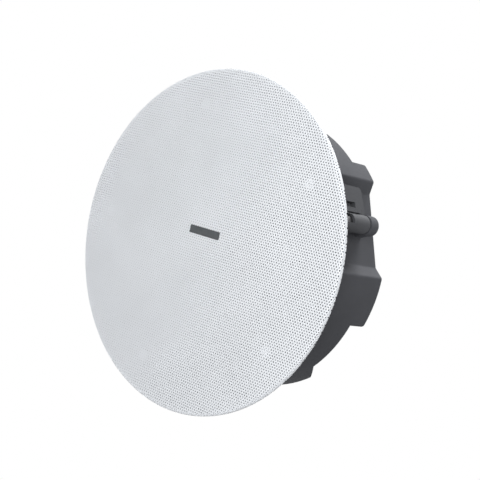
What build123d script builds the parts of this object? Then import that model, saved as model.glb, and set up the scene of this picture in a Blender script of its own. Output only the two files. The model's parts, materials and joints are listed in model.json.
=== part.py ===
from build123d import *
import os
from math import cos, radians, sin, tan

# In-ceiling speaker, millimetres. +Z points up into the ceiling void and the grille faces down.
# The origin is the centre of the flange's seat, the plane that meets the ceiling.

# Grille pan of perforated steel
GRILLE_R = 120.0
SHEET_T = 1.0
PAN_DEPTH = 3.0
PAN_BEND = 2.0
RIM_PLAY = 0.8

# Bare badge plate on the grille
BADGE_L = 27.9
BADGE_W = 4.75
BADGE_T = 0.4
BADGE_CORNER = 0.5
BADGE_OFFSET = 5.7

# Magnets that hold the grille
MAGNET_COUNT = 5
MAGNET_R = 4.0
MAGNET_INSET = 1.2
MAGNET_ANGLE = -35.0
MAGNET_SUNK = 1.8
MAGNET_PROUD = 0.7

# Front frame: flange, woofer well and clamp bosses
FLANGE_T = 2.8
FLANGE_EDGE = 0.8
WELL_WALL = 9.5
WELL_DEPTH = 8.0
WELL_PLAY = 1.1
CLAMP_BOSS_R = 6.0
CLAMP_BOSS_H = 4.0

# Back can
CAN_INSET = 22.8
CAN_WALL = 2.5
CAN_DEPTH = 76.5
SHELF_STEP = 16.8
CORE_STEP = 13.2
CAN_SEAT = 0.5
CAN_SEAT_PLAY = 0.2
CAN_SOFT = 2.5
REAR_SOFT = 2.0
LOBE_LEAD = 42.6
LOBE_TRAIL = 30.2
CABLE_LOBE_FOOT = 44.0
CABLE_LOBE_SLOPE = 45.0
CABLE_LOBE_MEET = 2.0
CABLE_LOBE_BITE = 6.0
REAR_PANEL_L = 70.0
REAR_PANEL_W = 44.0
REAR_PANEL_CORNER = 4.0
REAR_PANEL_SUNK = 0.6

# Can screws, driven from the front into posts inside the can
CAN_SCREW_STEPS = (42.0, 76.0)
CAN_SCREW_R = 1.8
CAN_SCREW_HEAD_R = 3.4
CAN_SCREW_HEAD_H = 1.6
CAN_SCREW_L = 16.0
CAN_POST_R = 4.0
CAN_POST_TIP = 3.0
CAN_POST_BITE = 1.0

# Clamps
CLAMP_COUNT = 3
CLAMP_ANGLE = -22.5
CLAMP_INSET = 2.3
CLAMP_SCREW_R = 2.5
CLAMP_HEAD_R = 4.3
CLAMP_HEAD_H = 2.2
CLAMP_HEAD_PLAY = 0.4
CLAMP_HEAD_SUNK = 0.2
CLAMP_DRIVE_W = 1.2
CLAMP_DRIVE_H = 1.2
RUNNING_FIT = 0.05
DOG_R = 6.4
DOG_L = 29.3
DOG_MAX_PANEL = 22.0
DOG_FLOOR_GAP = 1.9
DOG_END_WALL = 3.0
DOG_SCREW_PLAY = 0.4
ARM_REACH = 25.0
ARM_T = 4.0
ARM_OUT = 1.9
ARM_RISE = 2.4
ARM_DROP = 4.0
ARM_CORNER = 3.2
ARM_TIP_GAP = 1.0
FOOT_T = 3.0
FOOT_PROUD = 1.5
RIB_T = 3.2
RIB_PROUD = 2.0
RIB_PLACE = 6.4
RIB_L = 23.0
SLOT_W = 3.8
SLOT_PLACE = 10.2
SLOT_END = 20.0
WINDOW_W = 6.5
WINDOW_PLACE = 1.45
WINDOW_END = 11.6
BUSH_R = 4.4
BUSH_L = 11.0
COLLAR_R = 6.9
COLLAR_PLAY = 0.5
SCREW_BEARING_GAP = 1.3
SCREW_BEARING_L = 8.6
SCREW_TIP_INSET = 3.0
BEARING_SOFT = 1.0
RECESS_FLARE = 61.0
RECESS_OUT = 20.0

# Woofer
SURROUND_T = 1.0
SURROUND_ROLL = 6.0
SURROUND_LIP = 2.5
SURROUND_WELL_GAP = 1.5
CONE_T = 0.8
CONE_SPIDER_GAP = 2.0
CONE_SAG = 3.0
CAP_SEAT_SHARE = 0.9
CAP_RISE = 6.0
CAP_T = 0.6
COIL_R = 16.6
FORMER_T = 0.5
FORMER_LEAD = 0.5
COIL_T = 0.9
COIL_L = 9.0
COIL_GAP_OUT = 0.8
COIL_GAP_IN = 0.6
BASKET_FLANGE_T = 2.0
BASKET_FLANGE_PLAY = 1.5
BASKET_WALL = 2.0
BASKET_WALL_RUN = 2.6
BASKET_BASE_STEP = 13.0
BASKET_WINDOWS = 6
BASKET_WINDOW_W = 26.0
BASKET_WINDOW_LOW = 4.0
BASKET_WINDOW_TOP = 2.0
SPIDER_ROOM = 9.0
SPIDER_SEAT_W = 5.0
SPIDER_T = 0.7
SPIDER_WAVES = 4
SPIDER_WAVE_H = 1.6
GLUE_GAP = 0.05
TOP_PLATE_STEP = 20.0
TOP_PLATE_T = 6.0
FERRITE_STEP = 15.0
FERRITE_IN_R = 26.0
FERRITE_T = 12.0
BACK_PLATE_T = 6.0
POLE_VENT_R = 4.0
REAR_ROOM = 6.0
WOOFER_SCREW_COUNT = 6
WOOFER_SCREW_ANGLE = 20.0
WOOFER_SCREW_R = 1.7
WOOFER_SCREW_HEAD_R = 3.2
WOOFER_SCREW_HEAD_H = 2.0
WOOFER_SCREW_BITE = 5.0
TAB_BOARD_L = 16.0
TAB_BOARD_W = 7.0
TAB_BOARD_T = 1.6
TAB_BOARD_ANGLE = 170.0
TAB_W = 4.8
TAB_T = 0.8
TAB_H = 8.0
TAB_SPACING = 9.0

# Tweeter on its bridge
BRIDGE_T = 2.5
BRIDGE_W = 12.0
BRIDGE_FOOT_L = 7.0
BRIDGE_ANGLE = 50.0
BRIDGE_SCREW_R = 1.5
BRIDGE_SCREW_HEAD_R = 2.8
BRIDGE_SCREW_HEAD_H = 1.4
BRIDGE_SCREW_L = 7.0
POD_R = 18.0
POD_WALL = 2.2
POD_DEPTH = 12.0
POD_FLOOR = 1.8
FACE_T = 2.0
FACE_THROAT_R = 12.6
FACE_FLARE = 1.8
DOME_R = 9.5
DOME_RISE = 2.2
DOME_T = 0.5
DOME_SKIRT = 2.5
DOME_ROLL_W = 2.6
DOME_ROLL_T = 0.4
DOME_SEAT_T = 0.6
DOME_GAP = 0.6
YOKE_WALL = 2.0
YOKE_T = 7.0
TWEETER_MAGNET_T = 3.0
TWEETER_PLATE_T = 1.4

# Crossover board
BOARD_L = 46.0
BOARD_W = 26.0
BOARD_T = 1.6
BOARD_ANGLE = 200.0
BOARD_INSET = 20.0
BOARD_POST_R = 3.0
BOARD_POST_H = 4.0
BOARD_POST_INSET = 4.0
BOARD_SCREW_R = 1.3
BOARD_SCREW_HEAD_R = 2.4
BOARD_SCREW_HEAD_H = 1.6
BOARD_SCREW_BITE = 3.0
CAPACITOR_R = 5.0
CAPACITOR_L = 18.0
CAPACITOR_PLACE = 10.0
INDUCTOR_R = 9.0
INDUCTOR_HOLE_R = 4.0
INDUCTOR_H = 12.0
INDUCTOR_PLACE = 9.0

# Terminal cup on the can's rear face
CUP_L = 44.0
CUP_W = 24.0
CUP_DEPTH = 14.0
CUP_WALL = 1.6
CUP_LIP = 3.0
CUP_LIP_T = 1.5
CUP_CORNER = 3.0
CUP_ANGLE = 60.0
CUP_INSET = 22.0
CUP_FIT = 0.15
BLOCK_L = 34.0
BLOCK_W = 16.0
BLOCK_H = 7.0
LEVER_L = 11.0
LEVER_W = 9.0
LEVER_T = 2.4
LEVER_SPACING = 16.0
LEVER_GAP = 0.4
LEVER_SETBACK = 2.5
LEVER_SUNK = 1.5
LEVER_PIN_REACH = 1.6
LEVER_PIN_R = 1.0
LEVER_SWING = 15.0
LEVER_RIDGE_R = 0.8
WIRE_HOLE_R = 1.6

# Places worked out from the sizes above
FLANGE_R = GRILLE_R - SHEET_T - RIM_PLAY
CAN_R = GRILLE_R - CAN_INSET
CORE_R = CAN_R - CORE_STEP
SHELF_DEPTH = CAN_DEPTH - SHELF_STEP
SEAT_R = CAN_R + CAN_SEAT_PLAY
CLAMP_PITCH_R = CAN_R - CLAMP_INSET
MAGNET_PITCH_R = CAN_R - MAGNET_INSET
INSIDE_Z = -FLANGE_T - MAGNET_PROUD
FRONT_Z = INSIDE_Z - SHEET_T
RIM_Z = FRONT_Z + PAN_DEPTH
CLAMP_ANGLES = [CLAMP_ANGLE + 360 / CLAMP_COUNT * k for k in range(CLAMP_COUNT)]
FLOOR_D = CLAMP_PITCH_R - DOG_R - DOG_FLOOR_GAP
RECESS_HALF = ARM_REACH + ARM_TIP_GAP
DOG_TOP = DOG_MAX_PANEL + DOG_L
ARM_TOP = DOG_TOP + ARM_RISE
ARM_BACK = ARM_OUT - ARM_T
BEARING_LOW = DOG_TOP + SCREW_BEARING_GAP
BEARING_HIGH = BEARING_LOW + SCREW_BEARING_L
SCREW_TIP = BEARING_HIGH - SCREW_TIP_INSET
CAN_SCREW_PITCH_R = CAN_R - CAN_WALL - CAN_POST_R + CAN_POST_BITE
CAN_SCREW_ANGLES = [a + step for a in CLAMP_ANGLES for step in CAN_SCREW_STEPS]
WELL_OUT_R = FLOOR_D - CAN_WALL - WELL_PLAY
WELL_IN_R = WELL_OUT_R - WELL_WALL
ROLL_OUT_R = WELL_IN_R - SURROUND_WELL_GAP
CONE_R = ROLL_OUT_R - 2 * SURROUND_ROLL
TOP_PLATE_R = CONE_R - TOP_PLATE_STEP
FERRITE_R = CONE_R - FERRITE_STEP
BASKET_BASE_R = CONE_R - BASKET_BASE_STEP
BASKET_R = WELL_OUT_R - BASKET_FLANGE_PLAY
WOOFER_SCREW_PITCH_R = (WELL_IN_R + WELL_OUT_R) / 2
BASKET_Z = WELL_DEPTH + SURROUND_T
BACK_Z = CAN_DEPTH - CAN_WALL - REAR_ROOM - BACK_PLATE_T
FERRITE_Z = BACK_Z - FERRITE_T
PLATE_Z = FERRITE_Z - TOP_PLATE_T
SPIDER_Z = PLATE_Z - SPIDER_ROOM
NECK_Z = SPIDER_Z - CONE_SPIDER_GAP
COIL_Z = PLATE_Z + TOP_PLATE_T / 2
GAP_OUT_R = COIL_R + COIL_T + COIL_GAP_OUT
POLE_R = COIL_R - FORMER_T - COIL_GAP_IN
POD_IN_R = POD_R - POD_WALL
DOME_Z = -FLANGE_T + FACE_T
YOKE_Z = DOME_Z + DOME_SEAT_T
BOARD_PLACE = CORE_R - BOARD_INSET
BOARD_Z = CAN_DEPTH - CAN_WALL - BOARD_POST_H
CUP_PLACE = CORE_R - CUP_INSET
BLOCK_Z = CAN_DEPTH - CUP_DEPTH + CUP_WALL
LEVER_X = CUP_PLACE - BLOCK_W / 2 + LEVER_SETBACK
LEVER_Z = BLOCK_Z + BLOCK_H - LEVER_SUNK


def disc(radius, low, high):
    """Round plate between two heights."""
    return Pos(0, 0, low) * extrude(Circle(radius), high - low)


def ring(outer, inner, low, high):
    """Flat ring between two heights."""
    return Pos(0, 0, low) * extrude(Circle(outer) - Circle(inner), high - low)


def lathe(profile):
    """Solid turned about Z from a profile drawn as radius and height."""
    return revolve(Plane.XZ * profile, Axis.Z)


def rect(low_x, high_x, low_y, high_y):
    """Rectangle between two pairs of limits."""
    return Pos((low_x + high_x) / 2, (low_y + high_y) / 2) * Rectangle(high_x - low_x, high_y - low_y)


def block(x, y, z):
    """Box between three pairs of limits."""
    return Pos(0, 0, z[0]) * extrude(rect(x[0], x[1], y[0], y[1]), z[1] - z[0])


def around(radius, angles, shape):
    """Copies of a shape set at one radius and turned to each angle."""
    return [Rot(0, 0, a) * Pos(radius, 0, 0) * shape for a in angles]


def even(count, first):
    """Angles of an even round pattern."""
    return [first + 360 / count * k for k in range(count)]


def cap_shell(radius, rise, thick, edge_z):
    """Spherical cap that bulges down from a round edge."""
    ball = (radius**2 + rise**2) / (2 * rise)
    centre = Pos(0, 0, edge_z - rise + ball)
    return (centre * (Sphere(ball) - Sphere(ball - thick))) & disc(radius, edge_z - rise, edge_z)


def sector(start, end):
    """Full-radius sector of the can between two angles."""
    far = 2 * CAN_R
    turn = [start, (start + end) / 2, end]
    spokes = [(far * cos(radians(a)), far * sin(radians(a))) for a in turn]
    return Circle(CAN_R) & Polygon((0, 0), *spokes, align=None)


def screw(head_r, head_h, shank_r, length):
    """Countersunk screw with its head's face at zero and its shank going up."""
    shape = Polygon((0, 0), (head_r, 0), (shank_r, head_h), (shank_r, length), (0, length), align=None)
    return lathe(shape)


def save(name, *solids):
    """Write one node from one solid or from a set of like solids."""
    shape = solids[0] if len(solids) == 1 else Compound(children=[Part(s.wrapped) for s in solids])
    export_step(shape, f"parts/{name}.step")


os.makedirs("parts", exist_ok=True)

# Grille: a flat pan whose rim turns up around the flange
pan = disc(GRILLE_R, FRONT_Z, RIM_Z)
pan = fillet(pan.edges().sort_by(Axis.Z)[0], PAN_BEND)
hollow = disc(GRILLE_R - SHEET_T, INSIDE_Z, RIM_Z)
hollow = fillet(hollow.edges().sort_by(Axis.Z)[0], PAN_BEND - SHEET_T)
save("grille", pan - hollow)

badge = Pos(0, -BADGE_OFFSET) * RectangleRounded(BADGE_L, BADGE_W, BADGE_CORNER)
save("badge_plate", Pos(0, 0, FRONT_Z - BADGE_T) * extrude(badge, BADGE_T))

magnet = disc(MAGNET_R, INSIDE_Z, MAGNET_SUNK - FLANGE_T)
magnet_angles = even(MAGNET_COUNT, MAGNET_ANGLE)
save("grille_magnets", *around(MAGNET_PITCH_R, magnet_angles, magnet))

# Front frame: flange, woofer well and a boss behind each clamp screw
frame = disc(FLANGE_R, -FLANGE_T, 0)
frame = fillet(frame.edges().sort_by(Axis.Z)[0], FLANGE_EDGE)
frame -= disc(SEAT_R, -CAN_SEAT, 0)
frame += disc(WELL_OUT_R, -CAN_SEAT, WELL_DEPTH)
frame -= disc(WELL_IN_R, -FLANGE_T, WELL_DEPTH)
for boss in around(CLAMP_PITCH_R, CLAMP_ANGLES, disc(CLAMP_BOSS_R, -CAN_SEAT, CLAMP_BOSS_H)):
    frame += boss
head_z = CLAMP_HEAD_SUNK - FLANGE_T
head_pit = disc(CLAMP_HEAD_R + CLAMP_HEAD_PLAY, -FLANGE_T, head_z + CLAMP_HEAD_H)
head_pit += disc(CLAMP_SCREW_R + RUNNING_FIT, -FLANGE_T, CLAMP_BOSS_H)
for pit in around(CLAMP_PITCH_R, CLAMP_ANGLES, head_pit):
    frame -= pit
for pocket in around(MAGNET_PITCH_R, magnet_angles, magnet):
    frame -= pocket
can_screw = Pos(0, 0, -FLANGE_T) * screw(CAN_SCREW_HEAD_R, CAN_SCREW_HEAD_H, CAN_SCREW_R, CAN_SCREW_L)
can_screws = around(CAN_SCREW_PITCH_R, CAN_SCREW_ANGLES, can_screw)
for one in can_screws:
    frame -= one
woofer_screw_l = WOOFER_SCREW_HEAD_H + BASKET_FLANGE_T + SURROUND_T + WOOFER_SCREW_BITE
woofer_head_z = BASKET_Z + BASKET_FLANGE_T + WOOFER_SCREW_HEAD_H
woofer_screw = disc(WOOFER_SCREW_HEAD_R, woofer_head_z - WOOFER_SCREW_HEAD_H, woofer_head_z)
woofer_screw += disc(WOOFER_SCREW_R, woofer_head_z - woofer_screw_l, woofer_head_z)
woofer_screws = around(WOOFER_SCREW_PITCH_R, even(WOOFER_SCREW_COUNT, WOOFER_SCREW_ANGLE), woofer_screw)
for one in woofer_screws:
    frame -= one
bridge_angles = even(2, BRIDGE_ANGLE)
bridge_end = WELL_IN_R + BRIDGE_FOOT_L
bridge_arm = block((0, bridge_end), (-BRIDGE_W / 2, BRIDGE_W / 2), (-FLANGE_T, BRIDGE_T - FLANGE_T))
bridge_screw = screw(BRIDGE_SCREW_HEAD_R, BRIDGE_SCREW_HEAD_H, BRIDGE_SCREW_R, BRIDGE_SCREW_L)
bridge_screw = Pos(0, 0, -FLANGE_T) * bridge_screw
bridge_screws = around(WELL_IN_R + BRIDGE_FOOT_L / 2, bridge_angles, bridge_screw)
for foot in around(0, bridge_angles, bridge_arm):
    frame -= foot
for one in bridge_screws:
    frame -= one
save("front_frame", frame)
save("can_screws", *can_screws)

# Back can: a round wall with a shelf, a deeper core and a deep lobe around each clamp recess
flare = RECESS_OUT * tan(radians(RECESS_FLARE))
recess = Polygon(
    (FLOOR_D, -RECESS_HALF),
    (FLOOR_D, RECESS_HALF),
    (FLOOR_D + RECESS_OUT, RECESS_HALF + flare),
    (FLOOR_D + RECESS_OUT, -RECESS_HALF - flare),
    align=None,
)
shelf = Circle(CAN_R)
deep = Circle(CORE_R)
for angle in CLAMP_ANGLES:
    deep += sector(angle - LOBE_TRAIL, angle + LOBE_LEAD)
for angle in CLAMP_ANGLES:
    shelf -= Rot(0, 0, angle) * recess
    deep -= Rot(0, 0, angle) * recess
shelf = fillet(shelf.vertices(), CAN_SOFT)
deep = fillet(deep.vertices(), CAN_SOFT)
foot_plane = Pos(0, 0, -CAN_SEAT)
can = foot_plane * extrude(shelf, CAN_SEAT + SHELF_DEPTH) + foot_plane * extrude(deep, CAN_SEAT + CAN_DEPTH)
rear_edges = can.edges().filter_by_position(Axis.Z, CAN_DEPTH, CAN_DEPTH)
can = fillet(rear_edges, REAR_SOFT)

# Cable lobe: a ramped block that joins the next clamp lobe
lobe_end = CLAMP_ANGLES[1] - LOBE_TRAIL + CABLE_LOBE_MEET
cable_lobe = extrude(sector(CABLE_LOBE_FOOT, lobe_end) - Circle(CORE_R - CABLE_LOBE_BITE), CAN_DEPTH)
ramp = Box(CAN_R * 3, CAN_R * 3, CAN_R * 3, align=(Align.CENTER, Align.CENTER, Align.MIN))
cable_lobe -= Rot(0, 0, CABLE_LOBE_FOOT) * Pos(0, 0, SHELF_DEPTH) * Rot(CABLE_LOBE_SLOPE, 0, 0) * ramp
can += cable_lobe

# Inside of the can, and the seats that belong to its wall
can -= foot_plane * extrude(offset(shelf, -CAN_WALL), CAN_SEAT + SHELF_DEPTH - CAN_WALL)
can -= foot_plane * extrude(offset(deep, -CAN_WALL), CAN_SEAT + CAN_DEPTH - CAN_WALL)
post = disc(CAN_POST_R, -CAN_SEAT, CAN_SCREW_L - FLANGE_T + CAN_POST_TIP)
for one in around(CAN_SCREW_PITCH_R, CAN_SCREW_ANGLES, post):
    can += one
for one in can_screws:
    can -= one
bearing = disc(COLLAR_R, BEARING_LOW, BEARING_HIGH)
bearing = fillet(bearing.edges().sort_by(Axis.Z)[-1], BEARING_SOFT)
bearing_root = FLOOR_D - CLAMP_PITCH_R - CAN_WALL / 2
bearing += block((bearing_root, 0), (-DOG_R, DOG_R), (BEARING_LOW, BEARING_HIGH - BEARING_SOFT))
bearing -= disc(CLAMP_SCREW_R + RUNNING_FIT, BEARING_LOW, SCREW_TIP + SCREW_BEARING_GAP)
for one in around(CLAMP_PITCH_R, CLAMP_ANGLES, bearing):
    can += one

# Crossover board on posts behind the can's rear wall
half_l = BOARD_L / 2 - BOARD_POST_INSET
half_w = BOARD_W / 2 - BOARD_POST_INSET
board_spots = [Pos(x, y, 0) for x in (-half_w, half_w) for y in (-half_l, half_l)]
board_frame = Rot(0, 0, BOARD_ANGLE) * Pos(BOARD_PLACE, 0, BOARD_Z)
board_screw = disc(BOARD_SCREW_HEAD_R, -BOARD_T - BOARD_SCREW_HEAD_H, -BOARD_T)
board_screw += disc(BOARD_SCREW_R, -BOARD_T, BOARD_SCREW_BITE)
board_screws = [board_frame * spot * board_screw for spot in board_spots]
board = block((-BOARD_W / 2, BOARD_W / 2), (-BOARD_L / 2, BOARD_L / 2), (-BOARD_T, 0))
board = board_frame * board
for spot in board_spots:
    can += board_frame * spot * disc(BOARD_POST_R, 0, BOARD_POST_H)
for one in board_screws:
    can -= one
    board -= one
save("crossover_board", board)
save("board_screws", *board_screws)
lying = Rot(90, 0, 0) * Cylinder(CAPACITOR_R, CAPACITOR_L)
save("capacitor", board_frame * Pos(0, CAPACITOR_PLACE, -BOARD_T - CAPACITOR_R) * lying)
winding = ring(INDUCTOR_R, INDUCTOR_HOLE_R, -BOARD_T - INDUCTOR_H, -BOARD_T)
save("inductor", board_frame * Pos(0, -INDUCTOR_PLACE, 0) * winding)

# Terminal cup let into the rear wall, with a block that carries two push levers
cup_frame = Rot(0, 0, CUP_ANGLE) * Pos(CUP_PLACE, 0, CAN_DEPTH)
mouth = RectangleRounded(CUP_W, CUP_L, CUP_CORNER)
cutout = RectangleRounded(CUP_W + 2 * CUP_FIT, CUP_L + 2 * CUP_FIT, CUP_CORNER + CUP_FIT)
can -= cup_frame * Pos(0, 0, -CAN_WALL) * extrude(cutout, CAN_WALL)
rear_panel = RectangleRounded(REAR_PANEL_W, REAR_PANEL_L, REAR_PANEL_CORNER)
rear_panel = Pos(0, 0, CAN_DEPTH - REAR_PANEL_SUNK) * extrude(rear_panel, REAR_PANEL_SUNK)
can -= Rot(0, 0, CUP_ANGLE) * rear_panel
save("back_can", can)
cup = Pos(0, 0, -CUP_DEPTH) * extrude(mouth, CUP_DEPTH)
cup += extrude(RectangleRounded(CUP_W + 2 * CUP_LIP, CUP_L + 2 * CUP_LIP, CUP_CORNER + CUP_LIP), CUP_LIP_T)
cup_room = RectangleRounded(CUP_W - 2 * CUP_WALL, CUP_L - 2 * CUP_WALL, CUP_CORNER - CUP_WALL)
cup -= Pos(0, 0, CUP_WALL - CUP_DEPTH) * extrude(cup_room, CUP_DEPTH - CUP_WALL + CUP_LIP_T)
save("terminal_cup", cup_frame * cup)

lever_frames = [
    Rot(0, 0, CUP_ANGLE) * Pos(LEVER_X, side * LEVER_SPACING / 2, LEVER_Z) for side in (-1, 1)
]
lever_drop = LEVER_W * sin(radians(LEVER_SWING))
across = Rot(90, 0, 0)
lever = block((0, LEVER_W), (-LEVER_L / 2, LEVER_L / 2), (-LEVER_T / 2, LEVER_T / 2))
lever += across * Cylinder(LEVER_T / 2, LEVER_L)
lever += across * Cylinder(LEVER_PIN_R, LEVER_L + 2 * LEVER_PIN_REACH)
lever += Pos(LEVER_W - 2 * LEVER_RIDGE_R, 0, LEVER_T / 2) * across * Cylinder(LEVER_RIDGE_R, LEVER_L)
lever_room = block(
    (-LEVER_T / 2 - LEVER_GAP, LEVER_W + LEVER_GAP),
    (-LEVER_L / 2 - LEVER_GAP, LEVER_L / 2 + LEVER_GAP),
    (-LEVER_T / 2 - lever_drop - LEVER_GAP, LEVER_SUNK),
)
lever_room += across * Cylinder(LEVER_PIN_R + RUNNING_FIT, LEVER_L + 2 * LEVER_PIN_REACH + 2 * RUNNING_FIT)
wire_hole = Pos(LEVER_W, 0, -LEVER_T) * Rot(0, 90, 0) * extrude(Circle(WIRE_HOLE_R), BLOCK_W)
terminals = block((-BLOCK_W / 2, BLOCK_W / 2), (-BLOCK_L / 2, BLOCK_L / 2), (0, BLOCK_H))
terminals = Rot(0, 0, CUP_ANGLE) * Pos(CUP_PLACE, 0, BLOCK_Z) * terminals
for place in lever_frames:
    terminals -= place * lever_room
    terminals -= place * wire_hole
save("terminal_block", terminals)
save("lever_black", lever_frames[0] * lever)
save("lever_red", lever_frames[1] * lever)

# Clamps: screw, captive bush and the dog whose arm lies folded along the recess
clamp_screw = disc(CLAMP_HEAD_R, head_z, head_z + CLAMP_HEAD_H) + disc(CLAMP_SCREW_R, head_z, SCREW_TIP)
drive_l = CLAMP_HEAD_R / 2
drive_w = CLAMP_DRIVE_W / 2
drive = block((-drive_l, drive_l), (-drive_w, drive_w), (head_z, head_z + CLAMP_DRIVE_H))
clamp_screw -= drive
clamp_screw -= Rot(0, 0, 90) * drive

bush_z = DOG_MAX_PANEL + DOG_END_WALL
bush = ring(BUSH_R, CLAMP_SCREW_R + RUNNING_FIT, bush_z + RUNNING_FIT, bush_z + BUSH_L - RUNNING_FIT)

arm = Polygon(
    (0, DOG_MAX_PANEL),
    (0, ARM_TOP),
    (-ARM_REACH, ARM_TOP - ARM_DROP),
    (-ARM_REACH, DOG_MAX_PANEL),
    align=None,
)
arm = fillet(arm.vertices().sort_by(Axis.X)[:2], ARM_CORNER)
arm -= rect(-SLOT_PLACE - SLOT_W, -SLOT_PLACE, DOG_MAX_PANEL + FOOT_T, DOG_MAX_PANEL + SLOT_END)
dog = Pos(ARM_OUT, 0, 0) * extrude(Plane.YZ * arm, -ARM_T)
dog -= disc(COLLAR_R + COLLAR_PLAY, DOG_TOP, ARM_TOP)
dog += disc(DOG_R, DOG_MAX_PANEL, DOG_TOP)
foot_z = (DOG_MAX_PANEL, DOG_MAX_PANEL + FOOT_T)
dog += block((ARM_BACK - FOOT_PROUD, ARM_OUT + FOOT_PROUD), (-ARM_REACH + ARM_CORNER, 0), foot_z)
rib_z = (DOG_MAX_PANEL, DOG_MAX_PANEL + RIB_L)
dog += block((ARM_BACK, ARM_OUT + RIB_PROUD), (-RIB_PLACE - RIB_T, -RIB_PLACE), rib_z)
dog -= disc(CLAMP_SCREW_R + DOG_SCREW_PLAY, DOG_MAX_PANEL, DOG_TOP)
dog -= disc(BUSH_R + RUNNING_FIT, bush_z, bush_z + BUSH_L)
dog -= block(
    (0, DOG_R),
    (-WINDOW_PLACE - WINDOW_W / 2, WINDOW_W / 2 - WINDOW_PLACE),
    (bush_z, DOG_MAX_PANEL + WINDOW_END),
)
for number, angle in enumerate(CLAMP_ANGLES, 1):
    place = Rot(0, 0, angle) * Pos(CLAMP_PITCH_R, 0, 0)
    save(f"clamp_screw_{number}", place * clamp_screw)
    save(f"clamp_bush_{number}", place * bush)
    save(f"clamp_dog_{number}", place * dog)

# Woofer, from its surround to its back plate
mid_z = WELL_DEPTH + SURROUND_T / 2
roll = Circle(SURROUND_ROLL + SURROUND_T / 2) - Circle(SURROUND_ROLL - SURROUND_T / 2)
roll &= rect(-2 * SURROUND_ROLL, 2 * SURROUND_ROLL, -2 * SURROUND_ROLL, 0)
surround = Pos(CONE_R + SURROUND_ROLL, mid_z) * roll
surround += rect(CONE_R - SURROUND_LIP, CONE_R + SURROUND_T / 2, WELL_DEPTH, BASKET_Z)
surround += rect(ROLL_OUT_R - SURROUND_T / 2, BASKET_R, WELL_DEPTH, BASKET_Z)
surround = lathe(surround)
for one in woofer_screws:
    surround -= one
save("surround", surround)

lip_r = CONE_R - SURROUND_LIP
bow = ((lip_r + COIL_R) / 2, (BASKET_Z + NECK_Z) / 2 + CONE_SAG)
face = ThreePointArc((lip_r, BASKET_Z), bow, (COIL_R, NECK_Z))
lip_top = BASKET_Z + CONE_T
back = ThreePointArc((lip_r, lip_top), (bow[0], bow[1] + CONE_T), (COIL_R, NECK_Z + CONE_T))
edge = Polyline((lip_r, BASKET_Z), (CONE_R, BASKET_Z), (CONE_R, lip_top), (lip_r, lip_top))
neck = Line((COIL_R, NECK_Z), (COIL_R, NECK_Z + CONE_T))
save("cone", lathe(make_face([face, back, edge, neck])))
seat = face @ CAP_SEAT_SHARE
save("dust_cap", cap_shell(seat.X, CAP_RISE, CAP_T, seat.Y))
save("coil_former", ring(COIL_R, COIL_R - FORMER_T, NECK_Z - FORMER_LEAD, COIL_Z + COIL_L / 2))
save("voice_coil", ring(COIL_R + COIL_T, COIL_R, COIL_Z - COIL_L / 2, COIL_Z + COIL_L / 2))

wall_top = BASKET_Z + BASKET_FLANGE_T
wall_low = PLATE_Z - BASKET_WALL
basket = lathe(
    Polygon(
        (ROLL_OUT_R, BASKET_Z),
        (BASKET_R, BASKET_Z),
        (BASKET_R, wall_top),
        (ROLL_OUT_R + BASKET_WALL_RUN, wall_top),
        (BASKET_BASE_R, PLATE_Z),
        (FERRITE_IN_R, PLATE_Z),
        (FERRITE_IN_R, wall_low),
        (BASKET_BASE_R - BASKET_WALL_RUN, wall_low),
        (ROLL_OUT_R, wall_top),
        align=None,
    )
)
share = (SPIDER_Z - wall_top) / (wall_low - wall_top)
spider_r = ROLL_OUT_R + (BASKET_BASE_R - BASKET_WALL_RUN - ROLL_OUT_R) * share
basket += ring(spider_r, spider_r - SPIDER_SEAT_W, SPIDER_Z, SPIDER_Z + BASKET_WALL)
opening = block(
    (BASKET_BASE_R, BASKET_R),
    (-BASKET_WINDOW_W / 2, BASKET_WINDOW_W / 2),
    (wall_top + BASKET_WINDOW_LOW, SPIDER_Z - BASKET_WINDOW_TOP),
)
for one in around(0, even(BASKET_WINDOWS, WOOFER_SCREW_ANGLE), opening):
    basket -= one
for one in woofer_screws:
    basket -= one
save("basket", basket)
save("woofer_screws", *woofer_screws)

waves = []
for k in range(2 * SPIDER_WAVES + 1):
    radius = COIL_R + GLUE_GAP + (spider_r - SPIDER_SEAT_W - COIL_R - GLUE_GAP) * k / (2 * SPIDER_WAVES)
    waves.append((radius, SPIDER_Z - SPIDER_T + SPIDER_WAVE_H * (k % 2)))
waves.append((spider_r - SPIDER_T, SPIDER_Z - SPIDER_T))
raised = [(r, z + SPIDER_T) for r, z in reversed(waves)]
save("spider", lathe(Polygon(*waves, *raised, align=None)))

save("top_plate", ring(TOP_PLATE_R, GAP_OUT_R, PLATE_Z, FERRITE_Z))
save("ring_magnet", ring(FERRITE_R, FERRITE_IN_R, FERRITE_Z, BACK_Z))
yoke = disc(TOP_PLATE_R, BACK_Z, BACK_Z + BACK_PLATE_T) + disc(POLE_R, PLATE_Z, BACK_Z)
save("back_plate", yoke - disc(POLE_VENT_R, PLATE_Z, BACK_Z + BACK_PLATE_T))

tab_z = wall_top + TAB_BOARD_W
tabs = block((-TAB_BOARD_T / 2, TAB_BOARD_T / 2), (-TAB_BOARD_L / 2, TAB_BOARD_L / 2), (wall_top, tab_z))
for side in (-1, 1):
    middle = side * TAB_SPACING / 2
    tabs += block((-TAB_T / 2, TAB_T / 2), (middle - TAB_W / 2, middle + TAB_W / 2), (tab_z, tab_z + TAB_H))
save("woofer_tabs", *around(WOOFER_SCREW_PITCH_R, [TAB_BOARD_ANGLE], tabs))

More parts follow.
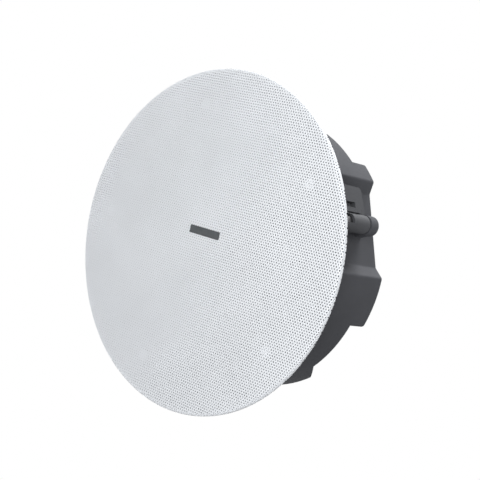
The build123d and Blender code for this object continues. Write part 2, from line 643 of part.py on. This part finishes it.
# Tweeter on a bridge across the woofer's mouth
pod_rear = POD_DEPTH - FLANGE_T
bridge = disc(POD_R, -FLANGE_T, pod_rear)
for one in around(0, bridge_angles, bridge_arm):
    bridge += one
bridge -= disc(POD_IN_R, -FLANGE_T, YOKE_Z + YOKE_T)
for one in bridge_screws:
    bridge -= one
save("tweeter_bridge", bridge)
save("bridge_screws", *bridge_screws)

face_plate = disc(POD_IN_R, -FLANGE_T, DOME_Z)
horn_r = FACE_THROAT_R + FACE_FLARE
horn = Polygon((0, -FLANGE_T), (horn_r, -FLANGE_T), (FACE_THROAT_R, DOME_Z), (0, DOME_Z), align=None)
save("tweeter_face", face_plate - lathe(horn))
roll_r = DOME_ROLL_W / 2
dome_mid = DOME_Z + DOME_SEAT_T / 2
ripple = Circle(roll_r) - Circle(roll_r - DOME_ROLL_T)
ripple &= rect(-2 * roll_r, 2 * roll_r, -2 * roll_r, 0)
roll_in = DOME_R + GLUE_GAP
dome_rim = Pos(roll_in + roll_r, dome_mid) * ripple
dome_rim += rect(roll_in + DOME_ROLL_W - DOME_ROLL_T, POD_IN_R, DOME_Z, YOKE_Z)
save("dome_surround", lathe(dome_rim))
dome = cap_shell(DOME_R, DOME_RISE, DOME_T, dome_mid)
dome += ring(DOME_R, DOME_R - DOME_T, dome_mid, dome_mid + DOME_SKIRT)
save("tweeter_dome", dome)
yoke_floor = YOKE_Z + YOKE_T - YOKE_WALL
cup_yoke = disc(POD_IN_R, YOKE_Z, YOKE_Z + YOKE_T)
cup_yoke -= disc(POD_IN_R - YOKE_WALL, YOKE_Z, yoke_floor)
save("tweeter_yoke", cup_yoke)
core_r = DOME_R - DOME_T - DOME_GAP
plate_z = yoke_floor - TWEETER_MAGNET_T
save("tweeter_magnet", disc(core_r, plate_z, yoke_floor))
save("tweeter_plate", disc(core_r, plate_z - TWEETER_PLATE_T, plate_z))
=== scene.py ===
import json
from math import cos, pi, radians, sin

import bmesh
import bpy
import numpy as np
from mathutils import Matrix, Vector
from mathutils.geometry import delaunay_2d_cdt


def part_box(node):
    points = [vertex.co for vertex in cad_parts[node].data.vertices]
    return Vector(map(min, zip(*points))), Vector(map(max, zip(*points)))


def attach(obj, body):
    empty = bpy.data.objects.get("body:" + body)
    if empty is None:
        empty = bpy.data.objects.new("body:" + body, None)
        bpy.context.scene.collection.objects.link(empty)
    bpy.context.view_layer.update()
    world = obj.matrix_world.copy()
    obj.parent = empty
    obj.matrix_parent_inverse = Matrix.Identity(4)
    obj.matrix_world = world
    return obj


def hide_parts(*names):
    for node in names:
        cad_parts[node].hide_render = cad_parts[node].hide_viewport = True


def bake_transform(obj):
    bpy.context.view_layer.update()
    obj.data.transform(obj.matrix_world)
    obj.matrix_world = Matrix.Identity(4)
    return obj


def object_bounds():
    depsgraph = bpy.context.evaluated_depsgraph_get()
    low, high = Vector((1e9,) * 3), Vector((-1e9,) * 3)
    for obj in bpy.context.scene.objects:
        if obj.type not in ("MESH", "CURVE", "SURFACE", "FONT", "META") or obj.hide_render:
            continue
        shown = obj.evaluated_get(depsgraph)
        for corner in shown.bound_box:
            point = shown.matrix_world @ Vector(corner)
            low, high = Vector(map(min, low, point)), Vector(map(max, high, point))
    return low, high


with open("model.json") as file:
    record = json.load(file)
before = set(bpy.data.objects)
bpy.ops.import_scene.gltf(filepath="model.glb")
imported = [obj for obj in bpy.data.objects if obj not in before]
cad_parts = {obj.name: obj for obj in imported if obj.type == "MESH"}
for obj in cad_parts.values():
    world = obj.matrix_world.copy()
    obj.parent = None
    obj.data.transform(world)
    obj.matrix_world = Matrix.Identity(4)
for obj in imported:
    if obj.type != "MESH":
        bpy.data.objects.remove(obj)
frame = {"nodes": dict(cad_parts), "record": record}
cad_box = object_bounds()
nodes = frame["nodes"]
slot_of = {part["node"]: part["material_slot"] for part in frame["record"]["subparts"]}
scene = bpy.context.scene

MM = 0.001
WELD = 1e-7
SHARP_ANGLE = 35

# Materials: noise is in cells per metre of object space, bump depth in metres
TINT_START, TINT_END = 0.3, 0.7
GRAIN_CELLS = 2600
FLOW_CELLS = 35
CLOUD_CELLS = 220
FIBRE_CELLS = 1500
PEEL_CELLS = 1400
COAT_CELLS = 22
WIRE_SCALE = 500
STREAK_SCALE = 1.0
STREAKS_ALONG_Z = (40, 40, 900)
STREAKS_ALONG_X = (900, 40, 40)


class Look:
    """Node material on one shader."""

    def __init__(self, name):
        self.material = bpy.data.materials.new(name)
        self.material.use_nodes = True
        tree = self.material.node_tree
        self.nodes = tree.nodes
        self.links = tree.links
        self.inputs = tree.nodes["Principled BSDF"].inputs
        self.coords = tree.nodes.new("ShaderNodeTexCoord").outputs["Object"]

    def noise(self, cells, detail=2.0, rough=0.5, stretch=None):
        """Noise in object space, stretched if asked."""
        tex = self.nodes.new("ShaderNodeTexNoise")
        tex.inputs["Scale"].default_value = cells
        tex.inputs["Detail"].default_value = detail
        tex.inputs["Roughness"].default_value = rough
        source = self.coords
        if stretch:
            mapping = self.nodes.new("ShaderNodeMapping")
            mapping.inputs["Scale"].default_value = stretch
            self.links.new(source, mapping.inputs["Vector"])
            source = mapping.outputs["Vector"]
        self.links.new(source, tex.inputs["Vector"])
        return tex.outputs["Fac"]

    def tone(self, fac, colour, darker, lighter):
        """Base colour that runs from a darker to a lighter tint."""
        node = self.nodes.new("ShaderNodeValToRGB")
        low, high = node.color_ramp.elements
        low.position, high.position = TINT_START, TINT_END
        for end, factor in ((low, darker), (high, lighter)):
            end.color = (*(min(1.0, c * factor) for c in colour), 1)
        self.links.new(fac, node.inputs["Fac"])
        self.links.new(node.outputs["Color"], self.inputs["Base Color"])

    def gloss(self, fac, low, high):
        """Roughness that runs from low to high."""
        node = self.nodes.new("ShaderNodeMapRange")
        node.inputs["To Min"].default_value = low
        node.inputs["To Max"].default_value = high
        self.links.new(fac, node.inputs["Value"])
        self.links.new(node.outputs["Result"], self.inputs["Roughness"])

    def bump(self, height, depth, strength):
        """Bump of a given depth."""
        node = self.nodes.new("ShaderNodeBump")
        node.inputs["Distance"].default_value = depth
        node.inputs["Strength"].default_value = strength
        self.links.new(height, node.inputs["Height"])
        self.links.new(node.outputs["Normal"], self.inputs["Normal"])


def moulded(name, colour, rough, grain=GRAIN_CELLS, specular=0.4):
    """Moulded plastic: spark-eroded grain, faint flow shading and uneven gloss."""
    look = Look(name)
    flow = look.noise(FLOW_CELLS, 3.0)
    fine = look.noise(grain, 3.0, 0.6)
    look.tone(flow, colour, 0.92, 1.08)
    look.gloss(fine, rough - 0.08, rough + 0.1)
    look.bump(fine, 0.00006, 0.6)
    look.inputs["Specular IOR Level"].default_value = specular
    return look.material


def plated(name, colour, rough, streak=STREAKS_ALONG_Z, metal=1.0):
    """Plated or turned metal: fine streaks and cloudy gloss."""
    look = Look(name)
    lines = look.noise(STREAK_SCALE, stretch=streak)
    cloud = look.noise(CLOUD_CELLS, 3.0)
    look.tone(cloud, colour, 0.88, 1.1)
    look.gloss(lines, rough - 0.08, rough + 0.12)
    look.bump(lines, 0.00003, 0.5)
    look.inputs["Metallic"].default_value = metal
    return look.material


def fibrous(name, colour, cells=FIBRE_CELLS, rough=0.85):
    """Pressed paper, cloth or ferrite: mottled fibres."""
    look = Look(name)
    fibre = look.noise(cells, 6.0, 0.75)
    look.tone(fibre, colour, 0.7, 1.25)
    look.gloss(fibre, rough - 0.1, rough + 0.1)
    look.bump(fibre, 0.00008, 0.8)
    return look.material


def powder(name, colour):
    """Powder coat: orange peel over sheet steel."""
    look = Look(name)
    peel = look.noise(PEEL_CELLS)
    wide = look.noise(COAT_CELLS)
    look.tone(wide, colour, 0.97, 1.02)
    look.gloss(peel, 0.42, 0.58)
    look.bump(peel, 0.00002, 0.5)
    return look.material


def winding(name, colour):
    """Enamelled wire laid in turns about the axis."""
    look = Look(name)
    wave = look.nodes.new("ShaderNodeTexWave")
    wave.bands_direction = "Z"
    wave.inputs["Scale"].default_value = WIRE_SCALE
    wave.inputs["Distortion"].default_value = 0.6
    look.links.new(look.coords, wave.inputs["Vector"])
    look.tone(wave.outputs["Fac"], colour, 0.55, 1.1)
    look.bump(wave.outputs["Fac"], 0.0002, 0.8)
    look.inputs["Metallic"].default_value = 0.9
    look.inputs["Roughness"].default_value = 0.3
    return look.material


# Each slot's kind of surface, its colour and then its roughness and what else its kind takes
HOUSING_GREY = (0.102, 0.105, 0.115)
LOOKS = {
    "grille_white": (powder, (0.865, 0.89, 0.92)),
    "badge_grey": (plated, (0.087, 0.095, 0.101), 0.5, STREAKS_ALONG_X, 0.5),
    "magnet_nickel": (plated, (0.6, 0.6, 0.61), 0.25),
    "frame_grey": (moulded, HOUSING_GREY, 0.78, GRAIN_CELLS, 0.1),
    "can_grey": (moulded, HOUSING_GREY, 0.78, GRAIN_CELLS, 0.1),
    "dog_grey": (moulded, (0.107, 0.11, 0.118), 0.7, 3200, 0.12),
    "screw_steel": (plated, (0.45, 0.45, 0.46), 0.32),
    "bush_steel": (plated, (0.14, 0.14, 0.145), 0.4),
    "cup_black": (moulded, (0.026, 0.026, 0.028), 0.5),
    "lever_black": (moulded, (0.022, 0.022, 0.022), 0.35),
    "lever_red": (moulded, (0.42, 0.018, 0.018), 0.35),
    "basket_black": (moulded, (0.028, 0.028, 0.028), 0.5),
    "surround_rubber": (moulded, (0.02, 0.02, 0.02), 0.6, 1800),
    "cone_paper": (fibrous, (0.035, 0.035, 0.036)),
    "spider_cloth": (fibrous, (0.5, 0.38, 0.19), 2200),
    "former_metal": (plated, (0.68, 0.68, 0.69), 0.3),
    "coil_copper": (winding, (0.72, 0.36, 0.18)),
    "pole_steel": (plated, (0.33, 0.33, 0.34), 0.35),
    "ferrite": (fibrous, (0.05, 0.05, 0.052), 900),
    "tab_board": (fibrous, (0.28, 0.17, 0.08), 700, 0.6),
    "bridge_black": (moulded, (0.028, 0.028, 0.028), 0.5),
    "dome_silk": (fibrous, (0.03, 0.03, 0.035), 3000, 0.6),
    "board_green": (moulded, (0.03, 0.15, 0.06), 0.4),
    "capacitor_sleeve": (moulded, (0.03, 0.05, 0.2), 0.3),
}
MATERIALS = {name: kind(name, *values) for name, (kind, *values) in LOOKS.items()}
for node_name, slot_name in slot_of.items():
    solid_materials = nodes[node_name].data.materials
    solid_materials.clear()
    solid_materials.append(MATERIALS[slot_name])


def piece(name, verts, faces, body, slot, smooth=SHARP_ANGLE):
    """New mesh piece in metres that rides on a body, or on none."""
    mesh = bpy.data.meshes.new(name)
    mesh.from_pydata(verts, [], faces)
    mesh.update()
    mesh.shade_smooth()
    mesh.set_sharp_from_angle(angle=radians(smooth))
    mesh.materials.append(MATERIALS[slot])
    obj = bpy.data.objects.new(name, mesh)
    scene.collection.objects.link(obj)
    if body:
        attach(obj, body)
    return obj


# Perforated grille: a lattice of holes drawn on the flat sheet in mm, then bent round the rim
SHEET_T = 1.0
BEND = 2.0
PITCH = 2.13
ROW = 1.727
HOLE_R = 0.65
HOLE_SIDES = 8
CELL_SIDES = 6
LEAST_BRIDGE = 0.15
END_SIDES = 480
SPARE_ROWS = 3
MATCH_DIGITS = 4
MATCH_DISTANCE = 1e-6
NO_LENGTH = 1e-9
QUARTERS = 4

pan_low, pan_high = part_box("grille")
front_z = pan_low.z / MM
flat_r = pan_high.x / MM - BEND
bend_end = flat_r + BEND * pi / 2
sheet_end = bend_end + pan_high.z / MM - front_z - BEND


def unit(angle):
    """Unit vectors at the angles."""
    return np.column_stack((np.cos(angle), np.sin(angle)))


def lattice(i, j):
    """Centre of hole i in row j."""
    return (i + 0.5 * (j % 2)) * PITCH, j * ROW


def spot(centre):
    """Centre as a key to look holes up by."""
    return tuple(np.round(centre, MATCH_DIGITS))


def at_each(centres, shape):
    """The shape's points round each centre."""
    return (centres[:, None, :] + shape[None]).reshape(-1, 2)


def closed_line(first, count):
    """Sides of a closed line through points in a row."""
    return [(first + k, first + (k + 1) % count) for k in range(count)]


# A cell is the hexagon round a hole
side_y = (ROW**2 - PITCH**2 / 4) / (2 * ROW)
cell_shape = np.array([
    (PITCH / 2, side_y), (0, ROW - side_y), (-PITCH / 2, side_y),
    (-PITCH / 2, -side_y), (0, side_y - ROW), (PITCH / 2, -side_y),
])
hole_turn = 360 / HOLE_SIDES * (np.arange(HOLE_SIDES) + 0.5)
hole_shape = unit(np.radians(hole_turn)) * HOLE_R
hole_out = unit(np.radians(hole_turn + 180 / HOLE_SIDES))
hole_flat = HOLE_R * cos(pi / HOLE_SIDES)


def cell_triangles():
    """Triangles between a cell's corners, which come first, and its hole's corners."""
    corner_turn = np.degrees(np.arctan2(cell_shape[:, 1], cell_shape[:, 0])) % 360
    tile = []
    a = b = 0
    while a < CELL_SIDES or b < HOLE_SIDES:
        corner, hole = a % CELL_SIDES, CELL_SIDES + b % HOLE_SIDES
        next_corner, next_hole = (a + 1) % CELL_SIDES, (b + 1) % HOLE_SIDES
        corner_angle = corner_turn[next_corner] + 360 * ((a + 1) // CELL_SIDES)
        hole_angle = hole_turn[next_hole] + 360 * ((b + 1) // HOLE_SIDES)
        if b >= HOLE_SIDES or (a < CELL_SIDES and corner_angle <= hole_angle):
            tile.append((corner, next_corner, hole))
            a += 1
        else:
            tile.append((corner, CELL_SIDES + next_hole, hole))
            b += 1
    return np.array(tile)


def is_metal(point, whole_holes, cut_holes):
    """True for a point that is in no whole cell and no cut hole, and inside the sheet's end."""
    off_middle = np.arctan2(point[1], point[0]) % (2 * pi / END_SIDES) - pi / END_SIDES
    if np.hypot(*point) * cos(off_middle) > sheet_end * cos(pi / END_SIDES):
        return False
    row = round(point[1] / ROW)
    near = [lattice(round(point[0] / PITCH - 0.5 * (j % 2)), j) for j in range(row - 1, row + 2)]
    centre = min(near, key=lambda c: (c[0] - point[0]) ** 2 + (c[1] - point[1]) ** 2)
    if spot(centre) in whole_holes:
        return False
    return spot(centre) not in cut_holes or max(hole_out @ (point - centre)) > hole_flat


def perforated():
    """Points of the flat sheet, and its triangles."""
    # Whole cells lie inside the sheet's round end, which cuts through other holes
    reach = int(sheet_end / ROW) + SPARE_ROWS
    span = range(-reach, reach + 1)
    centres = np.array([lattice(i, j) for j in span for i in span])
    far = np.hypot(centres[:, 0], centres[:, 1])
    inside = far + PITCH / 2 + side_y / 2 < sheet_end
    bridge = sheet_end - far - HOLE_R
    cut = ~inside & (far - HOLE_R < sheet_end - LEAST_BRIDGE) & (np.abs(bridge) > LEAST_BRIDGE)
    cut_centres = centres[cut]
    centres = centres[inside]

    count = len(centres)
    corners = at_each(centres, cell_shape)
    _, first, index = np.unique(
        np.round(corners, MATCH_DIGITS), axis=0, return_index=True, return_inverse=True,
    )
    corners = corners[first]
    corner_index = index.reshape(count, CELL_SIDES)
    holes = at_each(centres, hole_shape)
    hole_index = len(corners) + np.arange(count * HOLE_SIDES).reshape(count, HOLE_SIDES)
    cells = np.hstack((corner_index, hole_index))[:, cell_triangles()].reshape(-1, 3)

    # The border fills the stepped edge of the whole cells out to the sheet's end
    starts = corner_index.reshape(-1)
    ends = np.roll(corner_index, -1, axis=1).reshape(-1)
    pairs = np.sort(np.column_stack((starts, ends)), axis=1)
    sides, uses = np.unique(pairs, axis=0, return_counts=True)
    open_sides = sides[uses == 1]
    edge = np.unique(open_sides)
    place_on_edge = {int(p): k for k, p in enumerate(edge)}
    circle = unit(np.arange(END_SIDES) * 2 * pi / END_SIDES) * sheet_end
    drawn = np.vstack((corners[edge], circle, at_each(cut_centres, hole_shape)))
    lines = [(place_on_edge[int(p)], place_on_edge[int(q)]) for p, q in open_sides]
    lines += closed_line(len(edge), END_SIDES)
    for k in range(len(cut_centres)):
        lines += closed_line(len(edge) + END_SIDES + k * HOLE_SIDES, HOLE_SIDES)
    found, _, fills, source, _, _ = delaunay_2d_cdt(
        [Vector(p) for p in drawn], lines, [], 0, MATCH_DISTANCE,
    )
    found = np.array([tuple(p) for p in found])
    whole_holes = {spot(c) for c in centres}
    cut_holes = {spot(c) for c in cut_centres}
    base = len(corners) + len(holes)
    place = np.array([
        edge[s[0]] if s and s[0] < len(edge) else base + k for k, s in enumerate(source)
    ])
    fill = np.array([
        place[list(tri)] for tri in fills
        if is_metal(found[list(tri)].mean(axis=0), whole_holes, cut_holes)
    ])
    flat = np.vstack((corners, holes, found))
    p, q, r = (flat[fill[:, k]] for k in range(3))
    u, v = q - p, r - p
    turned_over = u[:, 0] * v[:, 1] - u[:, 1] * v[:, 0] < 0
    fill[turned_over] = fill[turned_over][:, ::-1]
    return flat, np.vstack((cells, fill))


def bent(flat):
    """Outer and inner faces of the pan, from points on the flat sheet."""
    s = np.hypot(flat[:, 0], flat[:, 1])
    turn = np.clip((s - flat_r) / BEND, 0, pi / 2)
    rise = np.maximum(s - bend_end, 0)
    outward = flat / np.maximum(s, NO_LENGTH)[:, None]
    faces = []
    for radius in (BEND, BEND - SHEET_T):
        r = np.minimum(s, flat_r) + radius * np.sin(turn)
        z = front_z + BEND - radius * np.cos(turn) + rise
        faces.append(np.column_stack((outward * r[:, None], z)) * MM)
    return faces


def grille_quarters():
    """Four quarters of the sheet, each closed: both faces, and a wall along every open side."""
    flat, skin = perforated()
    points = np.vstack(bent(flat))
    total = len(flat)
    centroid = flat[skin].mean(axis=1)
    quarter = (centroid[:, 0] > 0).astype(int) + 2 * (centroid[:, 1] > 0)
    for number in range(QUARTERS):
        face = skin[quarter == number]
        run = np.vstack((face[:, [0, 1]], face[:, [1, 2]], face[:, [2, 0]]))
        alone = ~np.isin(run[:, 0] * total + run[:, 1], run[:, 1] * total + run[:, 0])
        start, end = run[alone, 1], run[alone, 0]
        tris = np.vstack((
            face[:, ::-1],
            face + total,
            np.column_stack((start, end, end + total)),
            np.column_stack((start, end + total, start + total)),
        ))
        used, tris = np.unique(tris, return_inverse=True)
        sheet = piece(
            f"grille_sheet_{number + 1}", points[used].tolist(), tris.reshape(-1, 3).tolist(),
            "housing", "grille_white",
        )
        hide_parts("grille")


grille_quarters()

# Badge plate: its solid made wider, to the width that the photograph shows
BADGE_WIDER = 1.16


def badge_face():
    """Bare plate on the grille."""
    low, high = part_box("badge_plate")
    middle_y = (low.y + high.y) / 2
    solid = nodes["badge_plate"].data
    verts = [(v.co.x, middle_y + (v.co.y - middle_y) * BADGE_WIDER, v.co.z) for v in solid.vertices]
    faces = [tuple(poly.vertices) for poly in solid.polygons]
    badge = piece("badge_face", verts, faces, "housing", "badge_grey")
    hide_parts("badge_plate")


badge_face()

# Clamp screws, in mm: each solid's own head, with a right-handed thread rolled on its shank
CLAMPS = (1, 2, 3)
LEAD = 2.0
THREAD_DEPTH = 0.4
CREST_SLOPE = 1.7
CREST_DROP = 0.25
SHANK_R = 2.5
TIP_R = 1.7
TIP_L = 0.6
PLAIN_L = 4.5
HEAD_H = 2.2
HEAD_SLACK = 0.05
TURN_STEPS = 24
RISE_STEP = 0.25
THREAD_ANGLE = 40


def clamp_thread(number):
    """Clamp screw with its thread."""
    node = f"clamp_screw_{number}"
    low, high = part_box(node)
    axis_x, axis_y = (low.x + high.x) / 2 / MM, (low.y + high.y) / 2 / MM
    head_z = low.z / MM + HEAD_H
    tip_z = high.z / MM
    rise = np.append(np.arange(head_z, tip_z - TIP_L, RISE_STEP), (tip_z - TIP_L, tip_z))
    zs, turns = np.meshgrid(rise, np.arange(TURN_STEPS) * 2 * pi / TURN_STEPS, indexing="ij")
    phase = (zs / LEAD - turns / (2 * pi)) % 1.0
    crest = np.clip(CREST_SLOPE * (1 - np.abs(2 * phase - 1)) - CREST_DROP, 0, 1)
    fade = np.clip((zs - head_z - PLAIN_L) / LEAD, 0, 1)
    radius = SHANK_R - THREAD_DEPTH * (1 - crest) * fade
    radius[-1] = TIP_R
    shank = np.stack((axis_x + radius * np.cos(turns), axis_y + radius * np.sin(turns), zs), axis=-1)
    verts = (shank.reshape(-1, 3) * MM).tolist()
    rings = np.arange(len(verts)).reshape(len(rise), TURN_STEPS)
    ahead = np.roll(rings, -1, axis=1)
    quads = np.stack((rings[:-1], ahead[:-1], ahead[1:], rings[1:]), axis=-1)
    faces = [*quads.reshape(-1, 4).tolist(), rings[-1].tolist()]
    solid = nodes[node].data
    first = len(verts)
    verts += [tuple(v.co) for v in solid.vertices]
    for poly in solid.polygons:
        if all(solid.vertices[v].co.z < (head_z + HEAD_SLACK) * MM for v in poly.vertices):
            faces.append([first + v for v in poly.vertices])
    threaded = piece(
        f"clamp_thread_{number}", verts, faces, f"screw_{number}", "screw_steel", THREAD_ANGLE,
    )
    whole = bmesh.new()
    whole.from_mesh(threaded.data)
    bmesh.ops.delete(whole, geom=[v for v in whole.verts if not v.link_faces], context="VERTS")
    bmesh.ops.remove_doubles(whole, verts=whole.verts, dist=WELD)
    bmesh.ops.holes_fill(whole, edges=[e for e in whole.edges if e.is_boundary])
    bmesh.ops.recalc_face_normals(whole, faces=whole.faces)
    whole.to_mesh(threaded.data)
    whole.free()
    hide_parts(node)


for clamp in CLAMPS:
    clamp_thread(clamp)

# Soft rings: node, the body that moves, and the radii in mm between which the ring bends
SLICES = 12
SPIDER_SEAT = 4.3
SOFT_RINGS = (
    ("surround", "cone_assembly", 60.6, 71.4),
    ("spider", "cone_assembly", 17.2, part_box("spider")[1].x / MM - SPIDER_SEAT),
    ("dome_surround", "dome_assembly", 10.0, 11.7),
)


def soft_slice(number, node, body, inner_r, outer_r):
    """Slice of a ring's solid, cut between two planes through the axis and closed; it rides on no body."""
    half = pi / SLICES
    middle = (2 * number + 1) * half
    ring = bmesh.new()
    ring.from_mesh(nodes[node].data)
    bmesh.ops.remove_doubles(ring, verts=ring.verts, dist=WELD)
    for angle, drop in ((middle - half, "clear_inner"), (middle + half, "clear_outer")):
        bmesh.ops.bisect_plane(
            ring, geom=[*ring.verts, *ring.edges, *ring.faces], dist=WELD,
            plane_co=(0, 0, 0), plane_no=(-sin(angle), cos(angle), 0), **{drop: True},
        )
    bmesh.ops.holes_fill(ring, edges=[e for e in ring.edges if e.is_boundary])
    ring.verts.index_update()
    verts = [tuple(v.co) for v in ring.verts]
    faces = [tuple(v.index for v in f.verts) for f in ring.faces]
    ring.free()
    soft = piece(f"{node}_slice_{number + 1}", verts, faces, None, slot_of[node])
    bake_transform(soft)
    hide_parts(node)


for soft_ring in SOFT_RINGS:
    for slice_number in range(SLICES):
        soft_slice(slice_number, *soft_ring)

# Camera at the photograph's angle, in metres
LENS = 94.63
SENSOR = 36
CLIP_START = 0.01
CAMERA_AT = (0.587973, -0.061101, -0.640411)
CAMERA_RIGHT = (0.722839, -0.233001, 0.650558)
CAMERA_UP = (-0.216394, -0.970415, -0.107125)
CAMERA_BACK = (0.656267, -0.063339, -0.751867)
camera = bpy.data.objects.new("camera", bpy.data.cameras.new("camera"))
camera.data.lens = LENS
camera.data.sensor_width = SENSOR
camera.data.clip_start = CLIP_START
camera_turn = Matrix((CAMERA_RIGHT, CAMERA_UP, CAMERA_BACK)).transposed().to_4x4()
camera.matrix_world = Matrix.Translation(CAMERA_AT) @ camera_turn
scene.collection.objects.link(camera)
scene.camera = camera


def bare_tree(owner):
    """Emptied node tree of a material or world; gives its nodes and links."""
    owner.use_nodes = True
    owner.node_tree.nodes.clear()
    return owner.node_tree.nodes, owner.node_tree.links


def joined(ns, ls, operation, first, second, clamp=False):
    """Two values joined by one operation."""
    node = ns.new("ShaderNodeMath")
    node.operation = operation
    node.use_clamp = clamp
    ls.new(first, node.inputs[0])
    ls.new(second, node.inputs[1])
    return node.outputs[0]


def mixed(ns, ls, share, first, second):
    """Two shaders mixed by the second one's share."""
    node = ns.new("ShaderNodeMixShader")
    ls.new(share, node.inputs["Fac"])
    ls.new(first.outputs[0], node.inputs[1])
    ls.new(second.outputs[0], node.inputs[2])
    return node


# Floor: pale, white far out, and seen only from above, so the camera below looks past it
WHITE_START, WHITE_END = 0.25, 1.1
PALE = (0.86, 0.86, 0.86, 1)
FLOOR_HALF = 4
FLOOR_GAP = 0.0001


def floor_material():
    """Pale near the object and white far out, for camera rays from above alone."""
    mat = bpy.data.materials.new("floor")
    ns, ls = bare_tree(mat)
    camera_ray = ns.new("ShaderNodeLightPath").outputs["Is Camera Ray"]
    from_below = ns.new("ShaderNodeNewGeometry").outputs["Backfacing"]
    seen = joined(ns, ls, "SUBTRACT", camera_ray, from_below, clamp=True)
    pale = ns.new("ShaderNodeBsdfDiffuse")
    pale.inputs["Color"].default_value = PALE
    away = ns.new("ShaderNodeVectorMath")
    away.operation = "LENGTH"
    ls.new(ns.new("ShaderNodeTexCoord").outputs["Object"], away.inputs[0])
    share = ns.new("ShaderNodeMapRange")
    share.interpolation_type = "SMOOTHSTEP"
    share.inputs["From Min"].default_value = WHITE_START
    share.inputs["From Max"].default_value = WHITE_END
    ls.new(away.outputs["Value"], share.inputs["Value"])
    ground = mixed(ns, ls, share.outputs["Result"], pale, ns.new("ShaderNodeEmission"))
    shown = mixed(ns, ls, seen, ns.new("ShaderNodeBsdfTransparent"), ground)
    ls.new(shown.outputs[0], ns.new("ShaderNodeOutputMaterial").inputs["Surface"])
    return mat


floor_mesh = bpy.data.meshes.new("floor")
floor_z = cad_box[0][2] - FLOOR_GAP
floor_corners = [(x * FLOOR_HALF, y * FLOOR_HALF, floor_z) for x, y in ((-1, -1), (1, -1), (1, 1), (-1, 1))]
floor_mesh.from_pydata(floor_corners, [], [(0, 1, 2, 3)])
floor_mesh.materials.append(floor_material())
floor = bpy.data.objects.new("floor", floor_mesh)
scene.collection.objects.link(floor)

# World: white behind the object and in its reflections, a plain level of light on it
AMBIENT = (0.31, 0.31, 0.315, 1)
WHITE = (1, 1, 1, 1)


def studio_world():
    """World that looks white and lights the object less."""
    world = bpy.data.worlds.new("studio")
    ns, ls = bare_tree(world)
    path = ns.new("ShaderNodeLightPath").outputs
    direct = joined(ns, ls, "MAXIMUM", path["Is Camera Ray"], path["Is Glossy Ray"])
    every = joined(ns, ls, "MAXIMUM", direct, path["Is Transmission Ray"])
    tone = ns.new("ShaderNodeMix")
    tone.data_type = "RGBA"
    tone.inputs["A"].default_value = AMBIENT
    tone.inputs["B"].default_value = WHITE
    ls.new(every, tone.inputs["Factor"])
    sky = ns.new("ShaderNodeBackground")
    ls.new(tone.outputs["Result"], sky.inputs["Color"])
    ls.new(sky.outputs[0], ns.new("ShaderNodeOutputWorld").inputs["Surface"])
    return world


scene.world = studio_world()

# Lamps: name, place and size in metres, power in watts
LAMPS = (
    ("key", (-0.2, -1.5, 0.9), 0.9, 38),
    ("front", (0.38, -0.15, -0.6), 0.5, 4.5),
    ("over", (0.2, -0.3, 1.6), 1.4, 7),
)


def soft_light(name, place, size, power):
    """Large square lamp that faces the object."""
    lamp = bpy.data.lights.new(name, "AREA")
    lamp.size = size
    lamp.energy = power
    obj = bpy.data.objects.new(name, lamp)
    obj.location = place
    obj.rotation_euler = (-Vector(place)).to_track_quat("-Z", "Y").to_euler()
    obj.visible_camera = False
    scene.collection.objects.link(obj)


for lamp_values in LAMPS:
    soft_light(*lamp_values)

scene.view_settings.view_transform = "Standard"
